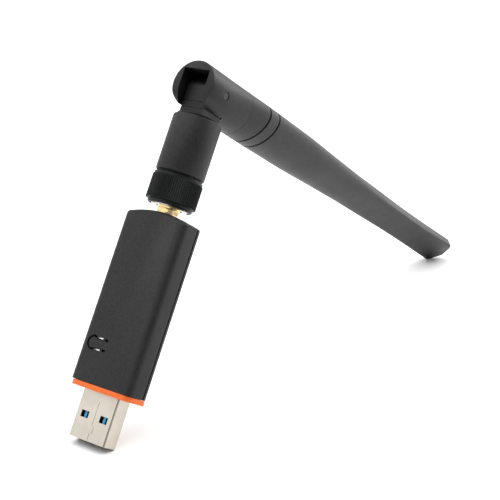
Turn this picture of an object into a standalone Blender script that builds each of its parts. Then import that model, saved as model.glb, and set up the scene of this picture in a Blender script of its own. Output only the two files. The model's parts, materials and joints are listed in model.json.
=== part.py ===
"""USB wireless network adapter with a folding paddle antenna.

The adapter stands as an upturned V: the mouth of the USB plug and the tip of the antenna rest on
the floor. The body ("stick") is modelled upright in its own frame and then leaned over: local Z
runs from the plug's mouth up to the elbow, local Y is across the broad face, and local X is the
thickness, with the antenna on the +X side. The antenna is modelled in a second frame at the elbow's
pin, with local X along the mast. All lengths below are millimetres.
"""

import math

import bmesh
import bpy
from mathutils import Vector

MM = 0.001

# How the adapter stands.
LEAN_FROM_FLOOR = 59.4

# USB plug.
PLUG_WIDTH = 12.0
PLUG_THICKNESS = 4.5
PLUG_WALL = 0.3
PLUG_END = 19.0
PLUG_CORNER = 0.3
WINDOW_OFFSET = 3.12
WINDOW_HEIGHT_UP = 6.15
WINDOW_WIDTH = 2.45
WINDOW_HEIGHT = 1.75
SEAM_MIDDLE = 0.2
SEAM_WIDTH = 0.09
SEAM_SHIFT = 0.7
SEAM_STEP_BOTTOM = 2.0
SEAM_STEP_TOP = 3.9
SEAM_SLOPE = 0.2
SEAM_TOP = 10.0
EDGE_SEAM_ACROSS = 5.6
EDGE_SEAM_WIDTH = 0.2
CUT_PAST = 0.1
INSULATOR_FRONT = -1.75
INSULATOR_BACK = 0.15
INSULATOR_WIDTH = 10.8
INSULATOR_MOUTH = 0.9
INSULATOR_END = 18.4
RIB_WIDTH = 0.72
RIB_SHIFT = 0.1
POCKET_REACH = 1.6
POCKET_FLOOR = -0.6
POCKET_BOTTOM = 4.9
POCKET_TOP = 7.4
CONTACT_FRONT = 0.25
CONTACTS_ACROSS = (-3.5, -1.0, 1.0, 3.5)
CONTACT_SIZE = (0.2, 1.0)
CONTACT_ENDS = (1.6, 9.0)
FAST_CONTACTS_ACROSS = (-4.0, -2.0, 0.0, 2.0, 4.0)
FAST_CONTACT_SIZE = (0.5, 0.6)
FAST_CONTACT_ENDS = (9.9, 13.5)

# Body shells and the end ring.
BODY_WIDTH = 20.0
BODY_FRONT = -4.4
BODY_SPLIT = 1.2
BODY_BACK = 3.4
BODY_BOTTOM = 13.72
BODY_TOP = 60.0
TOP_ARCH = 60.0
TOP_CORNER = 0.5
TOP_EDGE_SHARE = 0.3
FRONT_EDGE = 1.8
BACK_EDGE = 1.5
SHELL_WALL = 1.2
SHELL_GAP = 0.45
BACK_INSET = 0.02
BEZEL_BOTTOM = 12.3
BEZEL_TOP = 13.6
BEZEL_INSET = 0.05
BEZEL_FRONT_CORNER = 2.5
BEZEL_BACK_CORNER = 1.4
BEZEL_COLLAR = (-2.9, 1.9)
BEZEL_COLLAR_TOP = 15.4
PLUG_CLEARANCE = 0.15

# Push button cut out of the broad face, and the switch behind it.
BUTTON_ACROSS = 6.1
BUTTON_UP = 23.7
BUTTON_HEAD = 1.38
BUTTON_NECK = 1.05
BUTTON_SLOT = 0.6
BUTTON_ROOT = 1.6
BUTTON_ROOT_GAP = 0.3
SWITCH_NEAR = 4.1
SWITCH_FAR = 8.1
SWITCH_HEIGHT = 3.6
SWITCH_FRONT = -2.6
PLUNGER_RADIUS = 1.0
PLUNGER_FRONT = -2.9
PLUNGER_BACK = -1.85
PLUNGER_WELL = 1.35
PLUNGER_WELL_FLOOR = -1.3

# Circuit board.
BOARD_BOTTOM = 19.6
BOARD_TOP = 55.7
BOARD_WIDTH = 16.8
BOARD_THICKNESS = 1.0
PART_GAP = 0.15
SHIELD_WIDTH = 13.0
SHIELD_BOTTOM = 34.0
SHIELD_TOP = 50.0
SHIELD_DEPTH = 1.9
SHIELD_WALL = 0.3

# Coaxial jack on the end of the body.
JACK_TAIL = 2.5
JACK_TAIL_BOTTOM = 56.1
JACK_NECK_BOTTOM = 58.5
JACK_NECK = 2.75
JACK_HOLE = 3.1
JACK_HEX = 3.15
JACK_HEX_BOTTOM = 60.3
JACK_HEX_HEIGHT = 0.75
JACK_HEX_TURN = 36.0
JACK_BORE = 2.3
JACK_BORE_FLOOR = 63.0
JACK_THREAD_BOTTOM = 61.3
JACK_TOP = 68.0
JACK_THREAD = 3.12
THREAD_DEPTH = 0.22
THREAD_PITCH = 1.0

# Coupling nut.
NUT_RADIUS = 6.65
NUT_RIM = 5.95
NUT_BOTTOM = 61.9
NUT_KNURL_BOTTOM = 62.85
NUT_TOP = 70.1
NUT_KNURL_TOP = 69.3
KNURL_TEETH = 72
KNURL_DEPTH = 0.2
INSERT_RADIUS = 4.9
INSERT_BORE = 3.45
INSERT_BOTTOM = 61.75
INSERT_SHOULDER = 69.0
INSERT_TOP = 69.6
INSERT_LIP_BORE = 3.0
INSERT_GAP = 0.3

# Antenna base.
SLEEVE_RADIUS = 6.48
SLEEVE_BOTTOM = 70.5
SLEEVE_TOP = 85.75
SKIRT_BOTTOM = 70.35
SKIRT_RADIUS = 5.9
SLEEVE_BORE = 4.7
SPIGOT_RADIUS = 4.4
PIVOT_UP = 93.2
TONGUE_WIDTH = 7.5
TONGUE_THICKNESS = 7.5
TONGUE_BOTTOM = 85.9
SPIGOT_BOTTOM = 81.0
TONGUE_STEPS = (87.9, 89.6)
TONGUE_STEP_WIDTH = 0.24
TONGUE_STEP_DEPTH = 0.16
FERRULE_LIP = 3.15
FERRULE_NECK = 2.65
FERRULE_BOTTOM = 68.35
FERRULE_TOP = 80.5
COAX_HOLE = 1.8
COAX_ENDS = (72.0, 89.0)
COLLAR_RADIUS = 5.7
COLLAR_TOP = 86.25
PIN_RADIUS = 1.0
PIN_BORE = 1.3
PIN_HALF_LENGTH = 6.3
COAX_RADIUS = 1.4

# Antenna mast. The section is round at the fork and a flattened oval, rolled about the mast, beyond.
FORK_END = -6.7
FORK_RADIUS = 6.5
FORK_SLOT = 8.2
FORK_SLOT_TOP = 4.1
FORK_SLOT_FLOOR = 4.15
FORK_SWEEP = 6.9
MAST_ROLL = 50.0
FORK_LENGTH = 12.7
SPLIT_TILT = 0.25
HAIRLINE = 0.12
BARREL_END = 21.3
RING_START = 21.85
RING_END = 26.05
COVER_START = 26.6
TIP_CORNER = 152.66
TIP_BULGE = 3.4
CORE_RADIUS = 3.55
CORE_BORE = 2.6
CORE_END = 40.0
EDGE_BREAK = 0.12
EDGE_ROUND = 0.45
UPPER_COAX_ENDS = (5.2, 62.0)
DIPOLE_ENDS = (42.2, 62.8)
DIPOLE_RADIUS = 2.4
DIPOLE_BORE = 1.75
DIPOLE_POCKET = 2.75
ROD_RADIUS = 0.7
ROD_POCKET = 1.2
ROD_ENDS = (64.6, 127.0)
CUT_CLEAR = 9.0
GROOVE_BORE = 3.9

ROUND = 48
SMALL_ROUND = 24


def clear_scene():
    for existing in list(bpy.data.objects):
        bpy.data.objects.remove(existing, do_unlink=True)


def make_material(name, colour, roughness, metallic=0.0):
    material = bpy.data.materials.new(name)
    material.use_nodes = True
    shader = material.node_tree.nodes["Principled BSDF"]
    shader.inputs["Base Color"].default_value = (*colour, 1.0)
    shader.inputs["Roughness"].default_value = roughness
    shader.inputs["Metallic"].default_value = metallic
    return material


def make_frame(name, location, lean_degrees, parent=None):
    """An empty that leans about Y; location is in millimetres in the parent's frame."""
    frame = bpy.data.objects.new(name, None)
    bpy.context.scene.collection.objects.link(frame)
    frame.parent = parent
    frame.location = Vector(location) * MM
    frame.rotation_euler = (0.0, math.radians(lean_degrees), 0.0)
    return frame


def make_object(name, points, faces, frame, material, origin=(0.0, 0.0, 0.0), smooth=None):
    """A mesh from points in the frame's millimetres; origin is where the object's own origin goes."""
    origin = Vector(origin)
    mesh = bpy.data.meshes.new(name)
    mesh.from_pydata([(Vector(point) - origin) * MM for point in points], [], faces)
    builder = bmesh.new()
    builder.from_mesh(mesh)
    bmesh.ops.recalc_face_normals(builder, faces=builder.faces)
    builder.to_mesh(mesh)
    builder.free()
    made = bpy.data.objects.new(name, mesh)
    bpy.context.scene.collection.objects.link(made)
    made.parent = frame
    made.location = origin * MM
    if material is not None:
        mesh.materials.append(material)
    if smooth is not None:
        mesh.shade_smooth()
        mesh.set_sharp_from_angle(angle=math.radians(smooth))
    return made


def skin(rings, closed=False):
    """Points and faces through rings of equal length; a closed chain has no caps."""
    points = [point for ring in rings for point in ring]
    size = len(rings[0])
    faces = []
    last = len(rings) if closed else len(rings) - 1
    for row in range(last):
        here = row * size
        there = ((row + 1) % len(rings)) * size
        for step in range(size):
            following = (step + 1) % size
            faces.append((here + step, here + following, there + following, there + step))
    if not closed:
        faces.append(tuple(range(size - 1, -1, -1)))
        faces.append(tuple(range((len(rings) - 1) * size, len(rings) * size)))
    return points, faces


def circle(radius, height, count=ROUND, across=0.0, along=0.0):
    """A ring about local Z."""
    ring = []
    for step in range(count):
        angle = math.tau * step / count
        ring.append((along + radius * math.cos(angle), across + radius * math.sin(angle), height))
    return ring


def lathe(name, profile, frame, material, closed=False, count=ROUND, smooth=35.0, origin=(0, 0, 0)):
    """Turns (radius, height) steps about local Z."""
    points, faces = skin([circle(radius, height, count) for radius, height in profile], closed)
    return make_object(name, points, faces, frame, material, origin, smooth)


def box(name, low, high, frame, material, origin=(0, 0, 0)):
    rings = []
    for x in (low[0], high[0]):
        rings.append([(x, low[1], low[2]), (x, high[1], low[2]), (x, high[1], high[2]), (x, low[1], high[2])])
    points, faces = skin(rings)
    return make_object(name, points, faces, frame, material, origin)


def rounded_rectangle(half_wide, half_tall, corner, steps=5, low_corner=None):
    """Points (a, b) round a rectangle with rounded corners; low_corner is for the two at low a."""
    outline = []
    high_corner = corner
    for quarter, (side, rise) in enumerate(((1, 1), (-1, 1), (-1, -1), (1, -1))):
        corner = low_corner if low_corner and side < 0 else high_corner
        for step in range(steps + 1):
            angle = math.radians(90 * quarter + 90 * step / steps)
            a = side * (half_wide - corner) + corner * math.cos(angle)
            b = rise * (half_tall - corner) + corner * math.sin(angle)
            outline.append((a, b))
    return outline


def upright_prism(name, outline, levels, frame, material, smooth=35.0, origin=(0, 0, 0)):
    """Rings of an (x, y) outline at heights; each level is (height, inset as a share of size)."""
    rings = []
    for height, inset in levels:
        rings.append([(x * (1 - inset), y * (1 - inset), height) for x, y in outline])
    points, faces = skin(rings)
    return make_object(name, points, faces, frame, material, origin, smooth)


def face_prism(name, outline, near, far, frame, material, smooth=None, origin=(0, 0, 0)):
    """A (y, z) outline carried along local X."""
    rings = [[(x, y, z) for y, z in outline] for x in (near, far)]
    points, faces = skin(rings)
    return make_object(name, points, faces, frame, material, origin, smooth)


def side_prism(name, outline, near, far, frame, material, smooth=None, origin=(0, 0, 0)):
    """An (x, z) outline carried along local Y."""
    rings = [[(x, y, z) for x, z in outline] for y in (near, far)]
    points, faces = skin(rings)
    return make_object(name, points, faces, frame, material, origin, smooth)


def hide_cutter(cutter):
    cutter.hide_render = True
    cutter.display_type = "WIRE"
    return cutter


def cut(target, cutter, operation="DIFFERENCE"):
    modifier = target.modifiers.new(cutter.name, "BOOLEAN")
    modifier.operation = operation
    modifier.solver = "EXACT"
    modifier.object = hide_cutter(cutter)


def arch(y):
    """Height of the body's bowed top edge at a distance from the middle."""
    return BODY_TOP - y * y / TOP_ARCH


def body_outline(half_width, bottom, lowered, corner):
    """The body seen on its broad face: straight sides, rounded top corners, bowed top."""
    outline = [(half_width, bottom)]
    corner_y = half_width - corner
    for step in range(5):
        angle = math.radians(90 * step / 4)
        y = corner_y + corner * math.cos(angle)
        z = arch(corner_y) - corner - lowered + corner * math.sin(angle)
        outline.append((y, z))
    for step in range(1, 16):
        y = corner_y * (1 - step / 8)
        outline.append((y, arch(y) - lowered))
    for step in range(5):
        angle = math.radians(90 + 90 * step / 4)
        y = -corner_y + corner * math.cos(angle)
        z = arch(corner_y) - corner - lowered + corner * math.sin(angle)
        outline.append((y, z))
    outline.append((-half_width, bottom))
    return outline


def shell_block(name, flat_x, edge_x, edge, half_width, bottom, lowered, frame, material):
    """Half of the body as a block: open side at edge_x, rounded toward its broad face at flat_x."""
    inward = 1 if edge_x > flat_x else -1
    rings = []
    for x, inset in [(edge_x, 0.0)] + [
        (
            flat_x + inward * edge * (1 - math.sin(math.radians(turn))),
            edge * (1 - math.cos(math.radians(turn))),
        )
        for turn in (0, 22.5, 45, 67.5, 90)
    ]:
        drop = lowered + TOP_EDGE_SHARE * inset
        outline = body_outline(half_width - inset, bottom, drop, TOP_CORNER + inset)
        rings.append([(x, y, z) for y, z in outline])
    points, faces = skin(rings)
    return make_object(name, points, faces, frame, material, smooth=40.0)


def keyhole(head, neck, root, grow=0.0):
    """A round head at BUTTON_ACROSS on a straight neck that ends at root, as (y, z)."""
    head += grow
    neck += grow
    meet = math.asin(neck / head)
    outline = [(root, BUTTON_UP - neck)]
    for step in range(17):
        angle = math.pi + meet + (math.tau - 2 * meet) * step / 16
        outline.append((BUTTON_ACROSS + head * math.cos(angle), BUTTON_UP + head * math.sin(angle)))
    outline.append((root, BUTTON_UP + neck))
    return outline


def threaded(radius, bottom, top):
    """Ridges of a screw thread, as (radius, height) steps."""
    steps = []
    height = bottom
    while height + THREAD_PITCH <= top:
        steps.append((radius - THREAD_DEPTH, height))
        steps.append((radius, height + 0.5 * THREAD_PITCH))
        height += THREAD_PITCH
    steps.append((radius - THREAD_DEPTH, height))
    return steps


def mast_size(along):
    """Half length, half thickness and squareness of the mast's section at a distance from the pin."""
    stations = (
        (FORK_END, FORK_RADIUS, FORK_RADIUS, 0.0),
        (3.0, FORK_RADIUS, FORK_RADIUS, 0.0),
        (FORK_LENGTH, 6.8, 5.3, 0.0),
        (BARREL_END, 7.02, 4.7, 0.0),
        (COVER_START, 7.03, 4.6, 0.0),
        (47.0, 6.8, 4.3, 0.04),
        (65.0, 6.1, 3.7, 0.14),
        (81.0, 5.5, 3.15, 0.3),
        (94.0, 5.18, 2.57, 0.55),
        (104.0, 4.95, 2.25, 0.68),
        (112.0, 4.8, 2.0, 0.76),
        (121.0, 4.75, 1.92, 0.8),
        (132.0, 4.77, 1.87, 0.83),
        (147.0, 5.1, 1.55, 0.85),
        (TIP_CORNER + TIP_BULGE, 5.3, 1.3, 0.86),
    )
    for (start, *low), (end, *high) in zip(stations, stations[1:]):
        if along <= end:
            share = max(0.0, (along - start) / (end - start))
            return [a + (b - a) * share for a, b in zip(low, high)]
    return list(stations[-1][1:])


def flattened(share, square):
    """Pushes a sine or cosine toward its ends, which turns an ellipse into a rounded rectangle."""
    if abs(share) < 1e-9:
        return 0.0
    return math.copysign(abs(share) ** (1 - square), share)


def mast_ring(along, count=ROUND, shrink=0.0, bulge=0.0, tilt=0.0):
    """A ring of the mast's rolled section; bulge and tilt carry its middle or its underside along."""
    long_half, thin_half, square = mast_size(along)
    long_half -= shrink
    thin_half -= shrink
    roll = math.radians(MAST_ROLL)
    ring = []
    for step in range(count):
        angle = math.tau * step / count
        thin = thin_half * flattened(math.cos(angle), square)
        long = long_half * flattened(math.sin(angle), square)
        y = -math.sin(roll) * long - math.cos(roll) * thin
        z = math.cos(roll) * long - math.sin(roll) * thin
        reach = along + bulge * (1 - (long / long_half) ** 2) - tilt * z
        ring.append((reach, y, z))
    return ring


def mast_circle(radius, along, count=SMALL_ROUND):
    """A ring about local X."""
    ring = []
    for step in range(count):
        angle = math.tau * step / count
        ring.append((along, radius * math.cos(angle), radius * math.sin(angle)))
    return ring


def mast_tube(name, stations, bore, frame, material, smooth=35.0):
    """A length of mast with a round bore right through: stations are (along, shrink)."""
    outer = [mast_ring(along, ROUND, shrink) for along, shrink in stations]
    inner = [mast_circle(bore, along, ROUND) for along in (stations[-1][0], stations[0][0])]
    inner = [ring_matched(ring) for ring in inner]
    points, faces = skin(outer + inner, closed=True)
    return make_object(name, points, faces, frame, material, smooth=smooth)


def ring_matched(ring):
    """The same circle starting where a mast ring starts, so that a wall between them isn't twisted."""
    first = mast_ring(ring[0][0], ROUND)[0]
    start = math.atan2(first[2], first[1])
    radius = math.hypot(ring[0][1], ring[0][2])
    second = mast_ring(ring[0][0], ROUND)[1]
    turn = 1 if math.sin(math.atan2(second[2], second[1]) - start) > 0 else -1
    matched = []
    for step in range(ROUND):
        angle = start + turn * math.tau * step / ROUND
        matched.append((ring[0][0], radius * math.cos(angle), radius * math.sin(angle)))
    return matched


def build_usb_plug(frame, looks):
    outline = rounded_rectangle(PLUG_THICKNESS / 2, PLUG_WIDTH / 2, PLUG_CORNER, 3)
    inner = rounded_rectangle(PLUG_THICKNESS / 2 - PLUG_WALL, PLUG_WIDTH / 2 - PLUG_WALL, PLUG_CORNER / 3, 3)
    rings = [[(x, y, z) for x, y in outline] for z in (0.0, PLUG_END)]
    rings += [[(x, y, z) for x, y in inner] for z in (PLUG_END, 0.0)]
    points, faces = skin(rings, closed=True)
    shell = make_object("usb_plug_shell", points, faces, frame, looks["steel"], smooth=50.0)
    half = PLUG_THICKNESS / 2 + 1
    for number, side in enumerate((-1, 1)):
        low = (-half, side * WINDOW_OFFSET - WINDOW_WIDTH / 2, WINDOW_HEIGHT_UP - WINDOW_HEIGHT / 2)
        high = (half, side * WINDOW_OFFSET + WINDOW_WIDTH / 2, WINDOW_HEIGHT_UP + WINDOW_HEIGHT / 2)
        cut(shell, box(f"window_cutter_{number}", low, high, frame, None))
    # The folded shell meets in a dovetailed seam down the middle of the broad face.
    jog = SEAM_MIDDLE + SEAM_SHIFT
    left = [(SEAM_MIDDLE, -1.0), (SEAM_MIDDLE, SEAM_STEP_BOTTOM), (jog, SEAM_STEP_BOTTOM + SEAM_SLOPE)]
    left += [(jog, SEAM_STEP_TOP - SEAM_SLOPE), (SEAM_MIDDLE, SEAM_STEP_TOP), (SEAM_MIDDLE, SEAM_TOP)]
    right = [(y - SEAM_WIDTH, z) for y, z in reversed(left)]
    seam_outline = [(-y, z) for y, z in left + right]
    seam_floor = -PLUG_THICKNESS / 2 + PLUG_WALL + CUT_PAST
    cut(shell, face_prism("seam_cutter", seam_outline, -half, seam_floor, frame, None))
    edge_low = (-half, -EDGE_SEAM_ACROSS - EDGE_SEAM_WIDTH / 2, -1.0)
    edge_high = (seam_floor, -EDGE_SEAM_ACROSS + EDGE_SEAM_WIDTH / 2, BEZEL_BOTTOM + 2 * CUT_PAST)
    cut(shell, box("edge_seam_cutter", edge_low, edge_high, frame, None))

    insulator_half = INSULATOR_WIDTH / 2
    insulator = box(
        "usb_insulator", (INSULATOR_FRONT, -insulator_half, INSULATOR_MOUTH),
        (INSULATOR_BACK, insulator_half, INSULATOR_END), frame, looks["blue"],
    )
    for window in (-1, 1):
        # A pocket on each side leaves one upright rib behind the middle of each window.
        for side in (-1, 1):
            middle = window * WINDOW_OFFSET
            ends = sorted((middle + RIB_SHIFT + side * RIB_WIDTH / 2, middle + side * POCKET_REACH))
            low = (INSULATOR_FRONT - 1, ends[0], POCKET_BOTTOM)
            high = (POCKET_FLOOR, ends[1], POCKET_TOP)
            cut(insulator, box(f"pocket_{window}_{side}", low, high, frame, None))
    rows = (
        ("usb_contact", CONTACTS_ACROSS, CONTACT_SIZE, CONTACT_ENDS),
        ("usb_fast_contact", FAST_CONTACTS_ACROSS, FAST_CONTACT_SIZE, FAST_CONTACT_ENDS),
    )
    for name, across, (deep, wide), (bottom, top) in rows:
        for number, y in enumerate(across):
            low = (CONTACT_FRONT, y - wide / 2, bottom)
            high = (CONTACT_FRONT + deep, y + wide / 2, top)
            box(f"{name}_{number + 1}", low, high, frame, looks["gold"])


def build_body(frame, looks):
    half = BODY_WIDTH / 2
    front = shell_block(
        "front_shell", BODY_FRONT, BODY_SPLIT, FRONT_EDGE, half, BODY_BOTTOM, 0.0, frame, looks["case"]
    )
    cavity = shell_block(
        "front_cavity", BODY_FRONT + SHELL_WALL, BODY_SPLIT + 1, 0.8, half - SHELL_WALL,
        BODY_BOTTOM - 2, SHELL_WALL, frame, None,
    )
    cut(front, cavity)
    jack_hole = lathe("jack_hole_cutter", [(JACK_HOLE, 50.0), (JACK_HOLE, 66.0)], frame, None)
    cut(front, jack_hole)
    hole = keyhole(BUTTON_HEAD, BUTTON_NECK, BUTTON_ROOT, BUTTON_SLOT)
    slot_ends = (BODY_FRONT - 1, BODY_FRONT + SHELL_WALL + 1)
    cut(front, face_prism("button_slot_cutter", hole, *slot_ends, frame, None))

    back = shell_block(
        "back_shell", BODY_BACK, BODY_SPLIT + SHELL_GAP, BACK_EDGE, half - BACK_INSET,
        BODY_BOTTOM, BACK_INSET, frame, looks["case"],
    )
    back_cavity = shell_block(
        "back_cavity", BODY_BACK - SHELL_WALL + 0.2, BODY_SPLIT - 1, 0.2, half - SHELL_WALL - 0.4,
        BODY_BOTTOM - 2, SHELL_WALL + 0.4, frame, None,
    )
    cut(back, back_cavity)
    back_hole = lathe("back_hole_cutter", [(JACK_HOLE, 50.0), (JACK_HOLE, 66.0)], frame, None)
    cut(back, back_hole)

    # The coloured ring closes the plug's end of both shells, with a collar that reaches inside them.
    middle_x = (BODY_FRONT + BODY_BACK) / 2
    half_deep = (BODY_BACK - BODY_FRONT) / 2 - BEZEL_INSET
    rim = rounded_rectangle(
        half_deep, half - BEZEL_INSET, BEZEL_BACK_CORNER, low_corner=BEZEL_FRONT_CORNER
    )
    rim = [(x + middle_x, y) for x, y in rim]
    rings = [[(x, y, z) for x, y in rim] for z in (BEZEL_BOTTOM, BEZEL_TOP)]
    points, faces = skin(rings)
    bezel = make_object("end_bezel", points, faces, frame, looks["orange"], smooth=35.0)
    collar_half = half - SHELL_WALL - 0.5
    collar_low = (BEZEL_COLLAR[0], -collar_half, (BEZEL_BOTTOM + BEZEL_TOP) / 2)
    collar_high = (BEZEL_COLLAR[1], collar_half, BEZEL_COLLAR_TOP)
    cut(bezel, box("bezel_collar", collar_low, collar_high, frame, None), "UNION")
    opening = rounded_rectangle(
        PLUG_THICKNESS / 2 + PLUG_CLEARANCE, PLUG_WIDTH / 2 + PLUG_CLEARANCE, PLUG_CORNER + PLUG_CLEARANCE, 3
    )
    cut(bezel, upright_prism("bezel_opening", opening, [(10.0, 0.0), (18.0, 0.0)], frame, None))

    build_button(frame, looks)


def build_button(frame, looks):
    flap = keyhole(BUTTON_HEAD, BUTTON_NECK, BUTTON_ROOT + BUTTON_ROOT_GAP)
    hinge_line = (BODY_FRONT + SHELL_WALL / 2, BUTTON_ROOT, BUTTON_UP)
    face_prism(
        "wps_button", flap, BODY_FRONT, BODY_FRONT + SHELL_WALL, frame, looks["case"], 35.0, hinge_line
    )
    board_front = -BOARD_THICKNESS / 2
    base_low = (SWITCH_FRONT, SWITCH_NEAR, BUTTON_UP - SWITCH_HEIGHT / 2)
    base_high = (board_front - PART_GAP, SWITCH_FAR, BUTTON_UP + SWITCH_HEIGHT / 2)
    body = box("tact_switch_body", base_low, base_high, frame, looks["steel"])
    well = [
        [(x, BUTTON_ACROSS + y, BUTTON_UP + z) for _, y, z in mast_circle(PLUNGER_WELL, 0)]
        for x in (PLUNGER_FRONT - CUT_PAST, PLUNGER_WELL_FLOOR)
    ]
    points, faces = skin(well)
    cut(body, make_object("plunger_well", points, faces, frame, None))
    stem = [
        [(x, BUTTON_ACROSS + y, BUTTON_UP + z) for _, y, z in mast_circle(PLUNGER_RADIUS, 0)]
        for x in (PLUNGER_FRONT, PLUNGER_BACK)
    ]
    points, faces = skin(stem)
    origin = (PLUNGER_FRONT, BUTTON_ACROSS, BUTTON_UP)
    make_object("tact_switch_plunger", points, faces, frame, looks["dark"], origin, 35.0)


def build_board(frame, looks):
    front = -BOARD_THICKNESS / 2
    half = BOARD_WIDTH / 2
    box("main_board", (front, -half, BOARD_BOTTOM), (-front, half, BOARD_TOP), frame, looks["board"])
    can_front = front - PART_GAP - SHIELD_DEPTH
    can_half = SHIELD_WIDTH / 2
    can_low = (can_front, -can_half, SHIELD_BOTTOM)
    can_high = (front - PART_GAP, can_half, SHIELD_TOP)
    can = box("rf_shield", can_low, can_high, frame, looks["steel"])
    hollow_low = (can_front + SHIELD_WALL, -can_half + SHIELD_WALL, SHIELD_BOTTOM + SHIELD_WALL)
    hollow_high = (front + SHIELD_DEPTH, can_half - SHIELD_WALL, SHIELD_TOP - SHIELD_WALL)
    cut(can, box("shield_hollow", hollow_low, hollow_high, frame, None))
    pieces = (
        ("wifi_chip", (0.0, 42.0), (7.0, 7.0), 1.0, "dark"),
        ("flash_chip", (-3.5, 30.5), (4.0, 5.0), 1.4, "dark"),
        ("crystal_can", (3.2, 31.0), (3.2, 2.5), 0.8, "steel"),
        ("power_inductor", (-4.0, 23.8), (4.0, 4.0), 1.8, "dark"),
        ("capacitor_1", (0.4, 23.0), (1.6, 0.9), 0.8, "ceramic"),
        ("capacitor_2", (0.4, 25.4), (1.6, 0.9), 0.8, "ceramic"),
        ("capacitor_3", (4.2, 52.6), (1.6, 0.9), 0.8, "ceramic"),
    )
    for name, (y, z), (wide, tall), deep, look in pieces:
        low = (front - PART_GAP - deep, y - wide / 2, z - tall / 2)
        high = (front - PART_GAP, y + wide / 2, z + tall / 2)
        box(name, low, high, frame, looks[look])


def build_jack(frame, looks):
    profile = [(JACK_TAIL, JACK_TAIL_BOTTOM), (JACK_TAIL, JACK_NECK_BOTTOM)]
    profile += [(JACK_NECK, JACK_NECK_BOTTOM + 0.1), (JACK_NECK, JACK_THREAD_BOTTOM)]
    profile += threaded(JACK_THREAD, JACK_THREAD_BOTTOM + 0.1, JACK_TOP - 0.3)
    profile += [(JACK_THREAD - 0.3, JACK_TOP), (JACK_BORE, JACK_TOP), (JACK_BORE, JACK_BORE_FLOOR)]
    jack = lathe("sma_jack_body", profile, frame, looks["gold"], count=SMALL_ROUND)
    spanner = []
    for height in (JACK_HEX_BOTTOM, JACK_HEX_BOTTOM + JACK_HEX_HEIGHT):
        spanner.append([])
        for step in range(6):
            angle = math.radians(JACK_HEX_TURN + 60 * step)
            spanner[-1].append((JACK_HEX * math.cos(angle), JACK_HEX * math.sin(angle), height))
    points, faces = skin(spanner)
    cut(jack, make_object("jack_hex", points, faces, frame, None), "UNION")
    insulator = [(1.95, 63.3), (1.95, 67.6), (0.8, 67.6), (0.8, 63.3)]
    lathe("jack_insulator", insulator, frame, looks["white"], closed=True, count=SMALL_ROUND)
    lathe("jack_contact", [(0.45, 63.3), (0.45, 67.8), (0.2, 68.2)], frame, looks["gold"], count=12)


def build_nut(frame, looks):
    origin = (0.0, 0.0, (NUT_BOTTOM + NUT_TOP) / 2)
    count = 2 * KNURL_TEETH
    levels = (
        (NUT_RIM - 0.3, NUT_BOTTOM, 0.0),
        (NUT_RIM, NUT_BOTTOM + 0.25, 0.0),
        (NUT_RIM, NUT_KNURL_BOTTOM - 0.1, 0.0),
        (NUT_RADIUS, NUT_KNURL_BOTTOM + 0.1, KNURL_DEPTH),
        (NUT_RADIUS, NUT_KNURL_TOP - 0.1, KNURL_DEPTH),
        (NUT_RADIUS - KNURL_DEPTH, NUT_KNURL_TOP, 0.0),
        (NUT_RADIUS - KNURL_DEPTH, NUT_TOP - 0.25, 0.0),
        (NUT_RADIUS - KNURL_DEPTH - 0.25, NUT_TOP, 0.0),
    )
    rings = []
    for radius, height, depth in levels:
        ring = []
        for step in range(count):
            angle = math.tau * step / count
            reach = radius - depth * (step % 2)
            ring.append((reach * math.cos(angle), reach * math.sin(angle), height))
        rings.append(ring)
    rings.append(circle(INSERT_RADIUS + INSERT_GAP, NUT_TOP, count))
    rings.append(circle(INSERT_RADIUS + INSERT_GAP, NUT_BOTTOM, count))
    points, faces = skin(rings, closed=True)
    make_object("nut_grip", points, faces, frame, looks["rubber"], origin)
    profile = [(INSERT_BORE, INSERT_BOTTOM), (INSERT_RADIUS - 0.15, INSERT_BOTTOM)]
    profile += [(INSERT_RADIUS, INSERT_BOTTOM + 0.15), (INSERT_RADIUS, INSERT_TOP)]
    profile += [(INSERT_LIP_BORE, INSERT_TOP), (INSERT_LIP_BORE, INSERT_SHOULDER)]
    profile.append((INSERT_BORE, INSERT_SHOULDER))
    lathe("nut_insert", profile, frame, looks["nickel"], closed=True, count=36, origin=origin)


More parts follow.
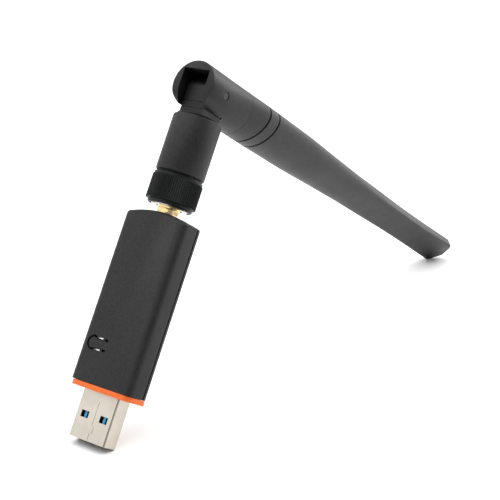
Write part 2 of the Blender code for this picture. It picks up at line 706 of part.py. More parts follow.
def build_antenna_base(frame, looks):
    sleeve = [(SLEEVE_BORE, SKIRT_BOTTOM), (SKIRT_RADIUS, SKIRT_BOTTOM), (SKIRT_RADIUS, SLEEVE_BOTTOM)]
    sleeve += [(SLEEVE_RADIUS - 0.5, SLEEVE_BOTTOM)]
    sleeve += [(SLEEVE_RADIUS - 0.15, SLEEVE_BOTTOM + 0.15), (SLEEVE_RADIUS, SLEEVE_BOTTOM + 0.5)]
    sleeve += [(SLEEVE_RADIUS, SLEEVE_TOP - 0.5), (SLEEVE_RADIUS - 0.15, SLEEVE_TOP - 0.15)]
    sleeve += [(SLEEVE_RADIUS - 0.5, SLEEVE_TOP), (SLEEVE_BORE, SLEEVE_TOP)]
    lathe("base_sleeve", sleeve, frame, looks["case"], closed=True)
    lip_top = FERRULE_BOTTOM + 0.35
    neck_top = SKIRT_BOTTOM + 0.1
    ferrule = [(COAX_HOLE, FERRULE_BOTTOM), (FERRULE_LIP, FERRULE_BOTTOM), (FERRULE_LIP, lip_top)]
    ferrule += [(FERRULE_NECK, lip_top), (FERRULE_NECK, neck_top), (SPIGOT_RADIUS, neck_top)]
    ferrule += [(SPIGOT_RADIUS, FERRULE_TOP), (COAX_HOLE, FERRULE_TOP)]
    lathe("plug_ferrule", ferrule, frame, looks["nickel"], closed=True, count=36)
    lathe("plug_insulator", [(1.45, 68.5), (1.45, 71.6)], frame, looks["white"], count=SMALL_ROUND)
    coax = [(COAX_RADIUS, height) for height in COAX_ENDS]
    lathe("coax_lower", coax, frame, looks["cable"], count=SMALL_ROUND)

    half_deep = TONGUE_THICKNESS / 2
    outline = [(-half_deep, TONGUE_BOTTOM), (half_deep, TONGUE_BOTTOM)]
    for step in range(17):
        angle = math.pi * step / 16
        outline.append((half_deep * math.cos(angle), PIVOT_UP + half_deep * math.sin(angle)))
    knuckle = side_prism(
        "hinge_knuckle", outline, -TONGUE_WIDTH / 2, TONGUE_WIDTH / 2, frame, looks["case"], 35.0
    )
    profile = [(SPIGOT_RADIUS, SPIGOT_BOTTOM), (SPIGOT_RADIUS, TONGUE_BOTTOM), (COLLAR_RADIUS, TONGUE_BOTTOM)]
    profile += [(COLLAR_RADIUS, COLLAR_TOP)]
    spigot = lathe("knuckle_spigot", profile, frame, None)
    cut(knuckle, spigot, "UNION")
    bore = [[(x, y, PIVOT_UP + z) for _, x, z in mast_circle(PIN_BORE, 0)] for y in (-CUT_CLEAR, CUT_CLEAR)]
    points, faces = skin(bore)
    cut(knuckle, make_object("pin_bore_cutter", points, faces, frame, None))
    channel = lathe("coax_channel_cutter", [(1.75, 79.0), (1.75, 89.6)], frame, None, count=SMALL_ROUND)
    cut(knuckle, channel)
    for number, height in enumerate(TONGUE_STEPS):
        low = (-half_deep - 1, -TONGUE_WIDTH, height - TONGUE_STEP_WIDTH / 2)
        high = (-half_deep + TONGUE_STEP_DEPTH, TONGUE_WIDTH, height + TONGUE_STEP_WIDTH / 2)
        cut(knuckle, box(f"step_cutter_{number}", low, high, frame, None))


def build_mast(frame, looks):
    fork_rings = [mast_ring(FORK_END, ROUND, EDGE_ROUND)]
    fork_rings.append(mast_ring(FORK_END + EDGE_BREAK, ROUND, EDGE_ROUND / 3))
    fork_rings += [mast_ring(along) for along in (FORK_END + EDGE_ROUND, 3.0, 7.0)]
    fork_rings.append(mast_ring(FORK_LENGTH - 2.0, tilt=SPLIT_TILT))
    fork_rings.append(mast_ring(FORK_LENGTH, tilt=SPLIT_TILT))
    points, faces = skin(fork_rings)
    fork = make_object("mast_fork", points, faces, frame, looks["case"], smooth=35.0)
    half_slot = FORK_SLOT / 2
    slot_low = (FORK_END - 1, -half_slot, -CUT_CLEAR)
    slot_high = (FORK_SLOT_FLOOR, half_slot, FORK_SLOT_TOP)
    cut(fork, box("fork_slot_cutter", slot_low, slot_high, frame, None))
    sweep = [(-CUT_CLEAR, 0.0)]
    for step in range(13):
        angle = math.radians(180 + 90 * step / 12)
        sweep.append((FORK_SWEEP * math.cos(angle), FORK_SWEEP * math.sin(angle)))
    sweep += [(0.0, -CUT_CLEAR), (-CUT_CLEAR, -CUT_CLEAR)]
    cut(fork, side_prism("fork_sweep_cutter", sweep, -CUT_CLEAR, CUT_CLEAR, frame, None))
    hole = [[(x, y, z) for _, x, z in mast_circle(PIN_RADIUS + HAIRLINE, 0)] for y in (-CUT_CLEAR, CUT_CLEAR)]
    points, faces = skin(hole)
    cut(fork, make_object("fork_pin_cutter", points, faces, frame, None))
    points, faces = skin([mast_circle(CORE_BORE, along) for along in (2.0, FORK_LENGTH + 4)])
    cut(fork, make_object("fork_bore_cutter", points, faces, frame, None))

    pin = [[(x, y, z) for _, x, z in mast_circle(PIN_RADIUS, 0)] for y in (-PIN_HALF_LENGTH, PIN_HALF_LENGTH)]
    points, faces = skin(pin)
    make_object("hinge_pin", points, faces, frame, looks["dark"], smooth=35.0)

    start = FORK_LENGTH + HAIRLINE
    outer = [mast_ring(start, tilt=SPLIT_TILT), mast_ring(18.0), mast_ring(BARREL_END - EDGE_BREAK)]
    outer.append(mast_ring(BARREL_END, ROUND, EDGE_BREAK))
    core = [ring_matched(mast_circle(radius, along, ROUND)) for radius, along in (
        (CORE_RADIUS, BARREL_END), (CORE_RADIUS, CORE_END), (CORE_BORE, CORE_END), (CORE_BORE, start)
    )]
    core[-1] = [(x - SPLIT_TILT * z, y, z) for x, y, z in core[-1]]
    points, faces = skin(outer + core, closed=True)
    make_object("mast_barrel", points, faces, frame, looks["case"], smooth=35.0)
    collar = [(RING_START, EDGE_BREAK), (RING_START + EDGE_BREAK, 0.0)]
    collar += [(RING_END - EDGE_BREAK, 0.0), (RING_END, EDGE_BREAK)]
    mast_tube("mast_collar", collar, GROOVE_BORE, frame, looks["case"])

    stations = [(COVER_START, EDGE_BREAK), (COVER_START + EDGE_BREAK, 0.0)]
    stations += [(along, 0.0) for along in (33.0, 40.0, 47.0, 56.0, 65.0, 73.0, 81.0, 87.5, 94.0)]
    stations += [(along, 0.0) for along in (100.0, 106.0, 112.0, 122.0, 132.0, 140.0, 147.0)]
    outer = [mast_ring(along, ROUND, shrink) for along, shrink in stations]
    outer.append(mast_ring(TIP_CORNER - 0.5, ROUND, 0.0, TIP_BULGE))
    outer.append(mast_ring(TIP_CORNER - EDGE_BREAK, ROUND, EDGE_BREAK, TIP_BULGE))
    outer.append(mast_ring(TIP_CORNER, ROUND, 0.4, TIP_BULGE))
    bore = [(ROD_POCKET, ROD_ENDS[1] + 1), (ROD_POCKET, ROD_ENDS[0] - 0.6)]
    bore += [(DIPOLE_POCKET, DIPOLE_ENDS[1] + 0.7), (DIPOLE_POCKET, CORE_END + 1.5)]
    bore += [(GROOVE_BORE, CORE_END + 1), (GROOVE_BORE, COVER_START)]
    inner = [ring_matched(mast_circle(radius, along, ROUND)) for radius, along in bore]
    points, faces = skin(inner + outer)
    make_object("mast_cover", points, faces, frame, looks["case"], smooth=28.0)

    points, faces = skin([mast_circle(COAX_RADIUS, along) for along in UPPER_COAX_ENDS])
    make_object("coax_upper", points, faces, frame, looks["cable"], smooth=35.0)
    start, end = DIPOLE_ENDS
    tube = ((DIPOLE_RADIUS, start), (DIPOLE_RADIUS, end), (DIPOLE_BORE, end), (DIPOLE_BORE, start))
    points, faces = skin([mast_circle(radius, along) for radius, along in tube], closed=True)
    make_object("dipole_sleeve", points, faces, frame, looks["brass"], smooth=35.0)
    points, faces = skin([mast_circle(ROD_RADIUS, along, 12) for along in ROD_ENDS])
    make_object("radiator_rod", points, faces, frame, looks["brass"], smooth=35.0)


def stand_on_floor(root):
    """Moves the whole adapter so that the middle of its box is over the origin and it rests on Z = 0."""
    bpy.context.view_layer.update()
    graph = bpy.context.evaluated_depsgraph_get()
    low = Vector((1e9, 1e9, 1e9))
    high = Vector((-1e9, -1e9, -1e9))
    for item in bpy.context.scene.objects:
        if item.type != "MESH" or item.hide_render:
            continue
        evaluated = item.evaluated_get(graph)
        for vertex in evaluated.data.vertices:
            place = evaluated.matrix_world @ vertex.co
            low = Vector(map(min, low, place))
            high = Vector(map(max, high, place))
    root.location = (-(low.x + high.x) / 2, -(low.y + high.y) / 2, -low.z)
    bpy.context.view_layer.update()


def main():
    clear_scene()
    looks = {
        "case": make_material("matte_black_plastic", (0.045, 0.046, 0.045), 0.5),
        "rubber": make_material("knurled_black_plastic", (0.02, 0.022, 0.021), 0.45),
        "orange": make_material("orange_plastic", (0.85, 0.2, 0.07), 0.4),
        "steel": make_material("nickel_plated_steel", (0.72, 0.69, 0.63), 0.28, 1.0),
        "blue": make_material("blue_plastic", (0.02, 0.2, 0.62), 0.35),
        "gold": make_material("gold_plating", (0.95, 0.68, 0.28), 0.22, 1.0),
        "nickel": make_material("nickel", (0.75, 0.75, 0.74), 0.25, 1.0),
        "brass": make_material("brass", (0.8, 0.6, 0.25), 0.3, 1.0),
        "white": make_material("white_insulator", (0.85, 0.85, 0.83), 0.5),
        "board": make_material("circuit_board", (0.02, 0.16, 0.07), 0.45),
        "dark": make_material("black_component", (0.02, 0.02, 0.02), 0.5),
        "ceramic": make_material("tan_ceramic", (0.5, 0.38, 0.24), 0.5),
        "cable": make_material("cable_jacket", (0.35, 0.2, 0.1), 0.5),
    }
    root = make_frame("adapter_root", (0.0, 0.0, 0.0), 0.0)
    stick = make_frame("stick_frame", (0.0, 0.0, 0.0), 90.0 - LEAN_FROM_FLOOR, root)
    elbow = make_frame("elbow_frame", (0.0, 0.0, PIVOT_UP), 0.0, stick)
    build_usb_plug(stick, looks)
    build_body(stick, looks)
    build_board(stick, looks)
    build_jack(stick, looks)
    build_nut(stick, looks)
    build_antenna_base(stick, looks)
    build_mast(elbow, looks)
    stand_on_floor(root)


main()
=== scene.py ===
"""The looks of a USB wireless adapter: finishes, two added pieces, floor, light and camera.

The added pieces are the web at the root of the push tab and the rounded end face of the mast.

Lengths are millimetres unless a name says otherwise. Like part.py, it uses the stick frame, where x
runs through the thickness and z from the plug's mouth to the elbow.
"""

import json
import math

import bmesh
import bpy
from mathutils import Matrix, Vector

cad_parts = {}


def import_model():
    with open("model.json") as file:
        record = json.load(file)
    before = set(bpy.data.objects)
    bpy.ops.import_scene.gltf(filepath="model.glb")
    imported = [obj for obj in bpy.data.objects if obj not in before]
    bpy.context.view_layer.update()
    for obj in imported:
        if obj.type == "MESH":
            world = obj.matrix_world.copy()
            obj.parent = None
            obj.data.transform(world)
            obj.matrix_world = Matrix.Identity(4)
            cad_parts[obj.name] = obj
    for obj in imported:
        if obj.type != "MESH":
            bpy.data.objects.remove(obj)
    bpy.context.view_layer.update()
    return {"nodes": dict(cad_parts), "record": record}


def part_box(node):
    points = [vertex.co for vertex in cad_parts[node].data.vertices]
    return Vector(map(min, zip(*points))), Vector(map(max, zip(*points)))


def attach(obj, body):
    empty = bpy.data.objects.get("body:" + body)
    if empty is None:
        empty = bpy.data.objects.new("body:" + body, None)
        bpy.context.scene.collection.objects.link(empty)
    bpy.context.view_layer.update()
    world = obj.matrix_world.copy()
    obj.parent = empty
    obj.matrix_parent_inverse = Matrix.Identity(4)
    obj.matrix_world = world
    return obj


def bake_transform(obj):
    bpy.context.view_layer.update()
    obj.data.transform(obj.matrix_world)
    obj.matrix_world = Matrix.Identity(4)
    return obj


MM = 0.001

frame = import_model()

# ---------------------------------------------------------------- where things are
LEAN_FROM_FLOOR = 59.4
PLUG_HALF_THICKNESS = 2.25
POCKET_TOP = -1.7
POCKET_FLOOR = -1.45
PLATE_EDGE = 4.75
PLATE_BLEND = 0.1


def stick_matrix():
    """The stick frame, found from the plug: its lowest edge is the far long edge of its mouth."""
    low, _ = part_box("usb_plug_shell")
    turn = Matrix.Rotation(math.radians(90.0 - LEAN_FROM_FLOOR), 4, "Y")
    near_edge = turn @ Vector((-PLUG_HALF_THICKNESS * MM, 0.0, 0.0))
    far_edge = turn @ Vector((PLUG_HALF_THICKNESS * MM, 0.0, 0.0))
    origin = Vector((low.x - near_edge.x, 0.0, low.z - far_edge.z))
    return Matrix.Translation(origin) @ turn


STICK = stick_matrix()
STICK_THROUGH = STICK.to_3x3() @ Vector((1.0, 0.0, 0.0))


def on_stick(x, y, z):
    """A point of the stick frame, given in millimetres, in the scene."""
    return STICK @ (Vector((x, y, z)) * MM)


# ---------------------------------------------------------------- materials
WEAR_REACH = 0.25
# Reach and range of the painted shade in slots and grooves.
HOLLOW_REACH = 5.0
HOLLOW_FROM = 0.3
HOLLOW_TO = 0.8


class Nodes:
    """Short ways to add and join shader nodes."""

    def __init__(self, name):
        self.material = bpy.data.materials.new(name)
        self.material.use_nodes = True
        self.tree = self.material.node_tree
        self.shader = self.tree.nodes["Principled BSDF"]
        self.place = self.tree.nodes.new("ShaderNodeTexCoord").outputs["Object"]

    def join(self, source, target):
        self.tree.links.new(source, target)

    def noise(self, scale, detail=3.0, roughness=0.55, stretch=None):
        node = self.tree.nodes.new("ShaderNodeTexNoise")
        node.inputs["Scale"].default_value = scale
        node.inputs["Detail"].default_value = detail
        node.inputs["Roughness"].default_value = roughness
        place = self.place
        if stretch is not None:
            mapping = self.tree.nodes.new("ShaderNodeMapping")
            mapping.vector_type = "TEXTURE"
            mapping.inputs["Rotation"].default_value = STICK.to_euler()
            mapping.inputs["Scale"].default_value = stretch
            self.join(place, mapping.inputs["Vector"])
            place = mapping.outputs["Vector"]
        self.join(place, node.inputs["Vector"])
        return node.outputs["Fac"]

    def ranged(self, value, low, high, start=0.3, end=0.7):
        node = self.tree.nodes.new("ShaderNodeMapRange")
        node.inputs["From Min"].default_value = start
        node.inputs["From Max"].default_value = end
        node.inputs["To Min"].default_value = low
        node.inputs["To Max"].default_value = high
        self.join(value, node.inputs["Value"])
        return node.outputs["Result"]

    def tint(self, value, low, high, start=0.3, end=0.7):
        node = self.tree.nodes.new("ShaderNodeValToRGB")
        node.color_ramp.elements[0].position = start
        node.color_ramp.elements[0].color = (*low, 1.0)
        node.color_ramp.elements[1].position = end
        node.color_ramp.elements[1].color = (*high, 1.0)
        self.join(value, node.inputs["Fac"])
        return node.outputs["Color"]

    def wear(self, reach):
        """1 at sharp edges and 0 on flat faces, from how far a rounded normal leans from the true one."""
        bevel = self.tree.nodes.new("ShaderNodeBevel")
        bevel.samples = 4
        bevel.inputs["Radius"].default_value = reach * MM
        true = self.tree.nodes.new("ShaderNodeNewGeometry")
        dot = self.tree.nodes.new("ShaderNodeVectorMath")
        dot.operation = "DOT_PRODUCT"
        self.join(bevel.outputs["Normal"], dot.inputs[0])
        self.join(true.outputs["Normal"], dot.inputs[1])
        return self.ranged(dot.outputs["Value"], 1.0, 0.0, 0.7, 0.98)

    def painted_shade_share(self, reach, start, end):
        """The share of painted shade: 1 deep in slots and grooves and 0 on open faces."""
        node = self.tree.nodes.new("ShaderNodeAmbientOcclusion")
        node.samples = 12
        node.inputs["Distance"].default_value = reach * MM
        return self.ranged(node.outputs["AO"], 1.0, 0.0, start, end)

    def depth(self, start, end):
        """0 in front of stick x = start and 1 behind x = end."""
        dot = self.tree.nodes.new("ShaderNodeVectorMath")
        dot.operation = "DOT_PRODUCT"
        dot.inputs[1].default_value = STICK_THROUGH
        self.join(self.place, dot.inputs[0])
        base = STICK_THROUGH.dot(STICK.translation)
        return self.ranged(dot.outputs["Value"], 0.0, 1.0, base + start * MM, base + end * MM)

    def bump(self, height, distance, strength=1.0, under=None):
        node = self.tree.nodes.new("ShaderNodeBump")
        node.inputs["Strength"].default_value = strength
        node.inputs["Distance"].default_value = distance * MM
        self.join(height, node.inputs["Height"])
        if under is not None:
            self.join(under, node.inputs["Normal"])
        return node.outputs["Normal"]

    def mixed(self, share, first, second):
        node = self.tree.nodes.new("ShaderNodeMix")
        node.data_type = "RGBA"
        self.join(share, node.inputs["Factor"])
        self.join(first, node.inputs[6])
        node.inputs[7].default_value = (*second, 1.0)
        return node.outputs[2]


def plastic(name, low, high, roughness, grain=0.045, edge=None, specular=0.5, hollow=None):
    """Moulded plastic: fine spark-eroded grain, faint mottling, edges rubbed lighter, and, where asked,
    painted shade darkening its slots and grooves.
    """
    nodes = Nodes(name)
    mottle = nodes.noise(1250.0, 6.0, 0.7)
    colour = nodes.tint(mottle, low, high, 0.4, 0.6)
    if edge is not None:
        colour = nodes.mixed(nodes.wear(WEAR_REACH), colour, edge)
    # Painted shade: where ambient occlusion finds slots and grooves, the colour goes to the near-black
    # hollow colour.
    if hollow is not None:
        colour = nodes.mixed(nodes.painted_shade_share(HOLLOW_REACH, HOLLOW_FROM, HOLLOW_TO), colour, hollow)
    nodes.join(colour, nodes.shader.inputs["Base Color"])
    smudge = nodes.noise(90.0, 5.0, 0.65)
    nodes.join(nodes.ranged(smudge, roughness - 0.05, roughness + 0.07), nodes.shader.inputs["Roughness"])
    fine = nodes.bump(nodes.noise(1700.0, 3.0, 0.65), grain)
    normal = nodes.bump(nodes.noise(420.0, 3.0), 0.006, 0.6, fine)
    nodes.join(normal, nodes.shader.inputs["Normal"])
    nodes.shader.inputs["Specular IOR Level"].default_value = specular
    return nodes.material


def metal(name, low, high, roughness, streak=None, dent=0.004):
    """Plated metal: faint rolling or turning streaks, fingermarks in the gloss, slight tone changes."""
    nodes = Nodes(name)
    nodes.join(nodes.tint(nodes.noise(180.0, 4.0), low, high), nodes.shader.inputs["Base Color"])
    smudge = nodes.noise(240.0, 5.0, 0.7)
    nodes.join(nodes.ranged(smudge, roughness - 0.06, roughness + 0.12), nodes.shader.inputs["Roughness"])
    nodes.shader.inputs["Metallic"].default_value = 1.0
    rolled = nodes.noise(900.0, 3.0, 0.6, streak)
    fine = nodes.bump(rolled, dent)
    nodes.join(nodes.bump(nodes.noise(2400.0, 2.0), 0.002, 0.5, fine), nodes.shader.inputs["Normal"])
    return nodes.material


def insulator_material():
    """Blue nylon, painted near black down in its moulded pockets: painted shade, since little light
    reaches them.
    """
    nodes = Nodes("insulator_blue")
    face = nodes.tint(nodes.noise(700.0, 4.0), (0.035, 0.27, 0.55), (0.06, 0.36, 0.68))
    # Painted shade: behind stick x = POCKET_TOP the blue goes to near black by POCKET_FLOOR.
    colour = nodes.mixed(nodes.depth(POCKET_TOP, POCKET_FLOOR), face, (0.002, 0.004, 0.008))
    nodes.join(colour, nodes.shader.inputs["Base Color"])
    nodes.join(nodes.ranged(nodes.noise(900.0), 0.35, 0.5), nodes.shader.inputs["Roughness"])
    nodes.join(nodes.bump(nodes.noise(2600.0, 2.0), 0.008), nodes.shader.inputs["Normal"])
    nodes.shader.inputs["Specular IOR Level"].default_value = 0.3
    return nodes.material


def switch_material():
    """The tact switch: a bright pressed cover plate, and black moulding where y is below PLATE_EDGE."""
    nodes = Nodes("switch_cover")
    split = nodes.tree.nodes.new("ShaderNodeSeparateXYZ")
    nodes.join(nodes.place, split.inputs["Vector"])
    plate = nodes.ranged(split.outputs["Y"], 0.0, 1.0, PLATE_EDGE * MM, (PLATE_EDGE + PLATE_BLEND) * MM)
    bright = nodes.tint(nodes.noise(900.0, 3.0), (0.93, 0.92, 0.89), (0.98, 0.97, 0.95))
    moulding = nodes.ranged(plate, 1.0, 0.0, 0.0, 1.0)
    nodes.join(nodes.mixed(moulding, bright, (0.004, 0.004, 0.004)), nodes.shader.inputs["Base Color"])
    nodes.join(plate, nodes.shader.inputs["Metallic"])
    nodes.join(nodes.ranged(nodes.noise(1200.0), 0.12, 0.24), nodes.shader.inputs["Roughness"])
    nodes.join(nodes.bump(nodes.noise(2600.0, 2.0), 0.002), nodes.shader.inputs["Normal"])
    return nodes.material


def board_material():
    """Green solder mask over copper: tracks show as slightly raised, lighter straight runs."""
    nodes = Nodes("solder_mask")
    brick = nodes.tree.nodes.new("ShaderNodeTexBrick")
    brick.inputs["Scale"].default_value = 320.0
    brick.inputs["Mortar Size"].default_value = 0.03
    brick.inputs["Color1"].default_value = (0.012, 0.11, 0.045, 1.0)
    brick.inputs["Color2"].default_value = (0.016, 0.14, 0.06, 1.0)
    brick.inputs["Mortar"].default_value = (0.03, 0.2, 0.09, 1.0)
    nodes.join(nodes.place, brick.inputs["Vector"])
    nodes.join(brick.outputs["Color"], nodes.shader.inputs["Base Color"])
    nodes.join(nodes.ranged(nodes.noise(500.0), 0.28, 0.45), nodes.shader.inputs["Roughness"])
    nodes.join(nodes.bump(brick.outputs["Fac"], 0.02), nodes.shader.inputs["Normal"])
    return nodes.material


def ribbed_material(name):
    """Dark grip plastic with a light, uneven film of dust."""
    nodes = Nodes(name)
    dust = nodes.noise(1500.0, 4.0, 0.7)
    colour = nodes.tint(dust, (0.004, 0.0047, 0.0045), (0.01, 0.0115, 0.011))
    nodes.join(colour, nodes.shader.inputs["Base Color"])
    nodes.join(nodes.ranged(dust, 0.34, 0.46), nodes.shader.inputs["Roughness"])
    nodes.shader.inputs["Specular IOR Level"].default_value = 0.2
    nodes.join(nodes.bump(nodes.noise(3200.0, 2.0), 0.008), nodes.shader.inputs["Normal"])
    return nodes.material


# Painted shade: the near-black colour painted deep in the slots and grooves of the black plastics.
PAINTED_SHADE = (0.0015, 0.0015, 0.0015)
CASE = plastic(
    "case_black", (0.0075, 0.008, 0.0077), (0.0125, 0.0133, 0.0128), 0.5, edge=(0.03, 0.031, 0.03),
    specular=0.3, hollow=PAINTED_SHADE,
)
MAST_LOOK = plastic(
    "mast_black", (0.0122, 0.0129, 0.0121), (0.0178, 0.0188, 0.0177), 0.43, edge=(0.036, 0.038, 0.036),
    specular=0.3, hollow=PAINTED_SHADE,
)
FORK_LOOK = plastic(
    "fork_black", (0.0073, 0.0076, 0.0072), (0.0108, 0.0113, 0.0107), 0.46, edge=(0.026, 0.027, 0.026),
    specular=0.26, hollow=PAINTED_SHADE,
)
KNUCKLE = plastic(
    "knuckle_black", (0.005, 0.0052, 0.005), (0.0075, 0.0078, 0.0075), 0.42, edge=(0.024, 0.025, 0.024),
    specular=0.25, hollow=PAINTED_SHADE,
)
GRIP = ribbed_material("grip_black")
ORANGE = plastic(
    "ring_orange", (0.72, 0.125, 0.022), (0.8, 0.155, 0.03), 0.4, 0.008, edge=(0.86, 0.22, 0.06),
    specular=0.25,
)
BLUE = insulator_material()
WHITE = plastic("insulator_white", (0.72, 0.72, 0.69), (0.8, 0.8, 0.78), 0.45, 0.006)
CHIP = plastic("chip_black", (0.01, 0.01, 0.011), (0.018, 0.018, 0.019), 0.55, 0.02)
CERAMIC = plastic("capacitor_tan", (0.3, 0.2, 0.12), (0.42, 0.3, 0.19), 0.5, 0.01)
CABLE = plastic("cable_brown", (0.16, 0.07, 0.03), (0.22, 0.1, 0.045), 0.38, 0.006)
STEEL = metal("plug_nickel", (0.54, 0.505, 0.435), (0.63, 0.595, 0.52), 0.34, (1.0, 1.0, 12.0))
SWITCH = switch_material()
GOLD = metal("gold_plate", (0.84, 0.62, 0.28), (0.93, 0.72, 0.38), 0.22, (1.0, 1.0, 0.2))
NICKEL = metal("bright_nickel", (0.5, 0.5, 0.49), (0.62, 0.62, 0.6), 0.24, (1.0, 1.0, 0.2))
BRASS = metal("drawn_brass", (0.68, 0.48, 0.2), (0.78, 0.58, 0.27), 0.3, (1.0, 1.0, 8.0))
BOARD = board_material()

LOOKS = {
    "case_plastic": CASE,
    "grip_plastic": GRIP,
    "orange_plastic": ORANGE,
    "plug_steel": STEEL,
    "blue_plastic": BLUE,
    "gold": GOLD,
    "nickel": NICKEL,
    "brass": BRASS,
    "white_insulator": WHITE,
    "circuit_board": BOARD,
    "black_component": CHIP,
    "ceramic": CERAMIC,
    "cable": CABLE,
}
OWN_LOOKS = {
    "mast_fork": FORK_LOOK,
    "mast_barrel": FORK_LOOK,
    "mast_collar": MAST_LOOK,
    "mast_cover": MAST_LOOK,
    "hinge_knuckle": KNUCKLE,
    "tact_switch_body": SWITCH,
}

# ---------------------------------------------------------------- finish of the CAD nodes
SMOOTH_UNDER = 32.0
WELD_UNDER = 0.002


def dress(node, look):
    """Gives a CAD node its material and smooth shading, except across its real edges."""
    piece = frame["nodes"][node]
    if not piece.material_slots:
        piece.data.materials.append(look)
    for slot in piece.material_slots:
        slot.material = look
    weld = piece.modifiers.new("weld", "WELD")
    weld.merge_threshold = WELD_UNDER * MM
    split = piece.modifiers.new("edges", "EDGE_SPLIT")
    split.split_angle = math.radians(SMOOTH_UNDER)
    for face in piece.data.polygons:
        face.use_smooth = True


slot_of = {item["node"]: item["material_slot"] for item in frame["record"]["subparts"]}
for node in sorted(frame["nodes"]):
    dress(node, OWN_LOOKS.get(node) or LOOKS[slot_of[node]])

# ---------------------------------------------------------------- added pieces
TAB_FRONT = -4.4
TAB_WALL = 1.2
TAB_NECK = 1.0
TAB_UP = 23.7
TAB_ROOT = 1.6
TAB_GAP = 0.3
TAB_ROWS = 5
TAB_LAP = 0.02
TAB_DEPTH = TAB_WALL * 0.75
TIP_DEPTH = 4.2
TIP_FIT = 0.995


def new_piece(name, points, faces, look):
    mesh = bpy.data.meshes.new(name)
    mesh.from_pydata(points, [], faces)
    mesh.materials.append(look)
    piece = bpy.data.objects.new(name, mesh)
    bpy.context.scene.collection.objects.link(piece)
    return piece


def tab_root():
    """The thin web that joins the push tab to the face it is cut from."""
    points = []
    faces = []
    for row in range(TAB_ROWS):
        share = row / (TAB_ROWS - 1)
        y = TAB_ROOT - TAB_LAP + (TAB_GAP + 2 * TAB_LAP) * share
        for x in (TAB_FRONT, TAB_FRONT + TAB_DEPTH):
            for z in (TAB_UP - TAB_NECK, TAB_UP + TAB_NECK):
                points.append(on_stick(x, y, z))
    for row in range(TAB_ROWS - 1):
        a = row * 4
        faces.append((a, a + 1, a + 5, a + 4))
        faces.append((a + 2, a + 6, a + 7, a + 3))
        faces.append((a, a + 4, a + 6, a + 2))
        faces.append((a + 1, a + 3, a + 7, a + 5))
    faces.append((0, 2, 3, 1))
    end = (TAB_ROWS - 1) * 4
    faces.append((end, end + 1, end + 3, end + 2))
    piece = new_piece("tab_root", points, faces, CASE)
    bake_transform(piece)


def mast_tip():
    """The rounded end of the mast: the hull of the cover's last rings, a little inside its surface.

    It closes the hollow between the cover's two broad faces. The mast runs along the stick's x.
    """
    corners = [vertex.co.copy() for vertex in frame["nodes"]["mast_cover"].data.vertices]
    end = max(corner.dot(STICK_THROUGH) for corner in corners)
    corners = [corner for corner in corners if corner.dot(STICK_THROUGH) > end - TIP_DEPTH * MM]
    middle = sum(corners, Vector()) / len(corners)
    shape = bmesh.new()
    for corner in corners:
        shape.verts.new(middle + (corner - middle) * TIP_FIT)
    hull = bmesh.ops.convex_hull(shape, input=shape.verts)
    inside = [item for item in hull["geom_interior"] if item.is_valid]
    bmesh.ops.delete(shape, geom=inside, context="VERTS")
    shape.verts.index_update()
    points = [vertex.co.copy() for vertex in shape.verts]
    faces = [[vertex.index for vertex in face.verts] for face in shape.faces]
    shape.free()
    piece = new_piece("mast_tip", points, faces, MAST_LOOK)
    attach(piece, "mast")


tab_root()
mast_tip()

# ---------------------------------------------------------------- floor, light and camera
CAMERA_POSITION = (-198.15, -195.96, 144.05)
CAMERA_AIM = (59.85, -4.63, 36.41)
FOCAL_LENGTH = 88.82
SENSOR = 36.0
FLOOR_SIZE_M = 6.0
DARK_SIDE = (-0.62, -0.75, 0.22)
SKY_BRIGHT = 1.2
SKY_DARK = 0.3


def floor():
    """A wide matt white floor under the adapter."""
    half = FLOOR_SIZE_M / 2
    corners = [(-half, -half, 0), (half, -half, 0), (half, half, 0), (-half, half, 0)]
    mesh = bpy.data.meshes.new("floor")
    mesh.from_pydata(corners, [], [(0, 1, 2, 3)])
    piece = bpy.data.objects.new("floor", mesh)
    bpy.context.scene.collection.objects.link(piece)
    nodes = Nodes("floor_white")
    colour = nodes.tint(nodes.noise(30.0), (0.93, 0.93, 0.93), (0.95, 0.95, 0.95))
    nodes.join(colour, nodes.shader.inputs["Base Color"])
    nodes.shader.inputs["Roughness"].default_value = 0.9
    nodes.shader.inputs["Specular IOR Level"].default_value = 0.1
    mesh.materials.append(nodes.material)


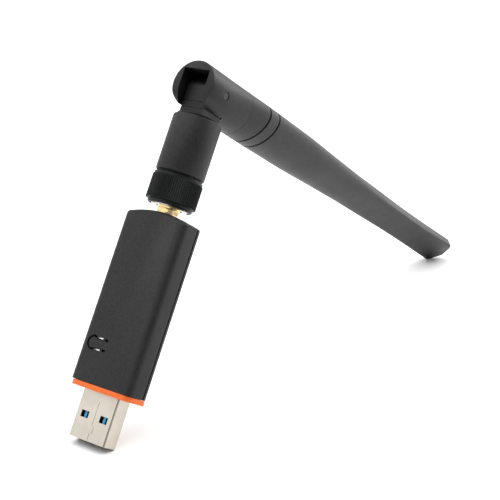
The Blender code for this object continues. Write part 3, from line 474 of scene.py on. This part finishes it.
def softbox(name, place, aim, size, power):
    """A rectangular lamp at place, turned to aim. Both, and its size, are in metres."""
    light = bpy.data.lights.new(name, "AREA")
    light.shape = "RECTANGLE"
    light.size = size[0]
    light.size_y = size[1]
    light.energy = power
    lamp = bpy.data.objects.new(name, light)
    bpy.context.scene.collection.objects.link(lamp)
    lamp.location = place
    lamp.rotation_euler = (Vector(aim) - Vector(place)).to_track_quat("-Z", "Y").to_euler()


def camera():
    """The camera, placed from the foot of the plug."""
    foot = STICK.translation.x
    place = Vector(CAMERA_POSITION) * MM + Vector((foot, 0.0, 0.0))
    aim = Vector(CAMERA_AIM) * MM + Vector((foot, 0.0, 0.0))
    lens = bpy.data.cameras.new("camera")
    lens.sensor_width = SENSOR
    lens.lens = FOCAL_LENGTH
    lens.clip_start = 0.01
    made = bpy.data.objects.new("camera", lens)
    bpy.context.scene.collection.objects.link(made)
    made.location = place
    made.rotation_euler = (aim - place).to_track_quat("-Z", "Y").to_euler()
    bpy.context.scene.camera = made


def world():
    """White all round, but darker behind the camera, as in a studio where only the set is lit."""
    sky = bpy.data.worlds.new("studio")
    sky.use_nodes = True
    tree = sky.node_tree
    back = tree.nodes["Background"]
    back.inputs["Color"].default_value = (1.0, 1.0, 1.0, 1.0)
    toward = tree.nodes.new("ShaderNodeTexCoord")
    dot = tree.nodes.new("ShaderNodeVectorMath")
    dot.operation = "DOT_PRODUCT"
    dot.inputs[1].default_value = DARK_SIDE
    tree.links.new(toward.outputs["Generated"], dot.inputs[0])
    ramp = tree.nodes.new("ShaderNodeMapRange")
    ramp.interpolation_type = "SMOOTHSTEP"
    ramp.inputs["From Min"].default_value = 0.2
    ramp.inputs["From Max"].default_value = 0.85
    ramp.inputs["To Min"].default_value = SKY_BRIGHT
    ramp.inputs["To Max"].default_value = SKY_DARK
    tree.links.new(dot.outputs["Value"], ramp.inputs["Value"])
    tree.links.new(ramp.outputs["Result"], back.inputs["Strength"])
    bpy.context.scene.world = sky


floor()
world()
softbox("top_light", (-0.15, 0.1, 0.9), (0.0, 0.0, 0.0), (1.4, 1.4), 8.0)
softbox("right_light", (0.7, -0.3, 0.4), (0.05, 0.0, 0.03), (0.6, 0.4), 4.0)
camera()

bpy.context.scene.view_settings.view_transform = "Standard"
bpy.context.scene.view_settings.look = "None"
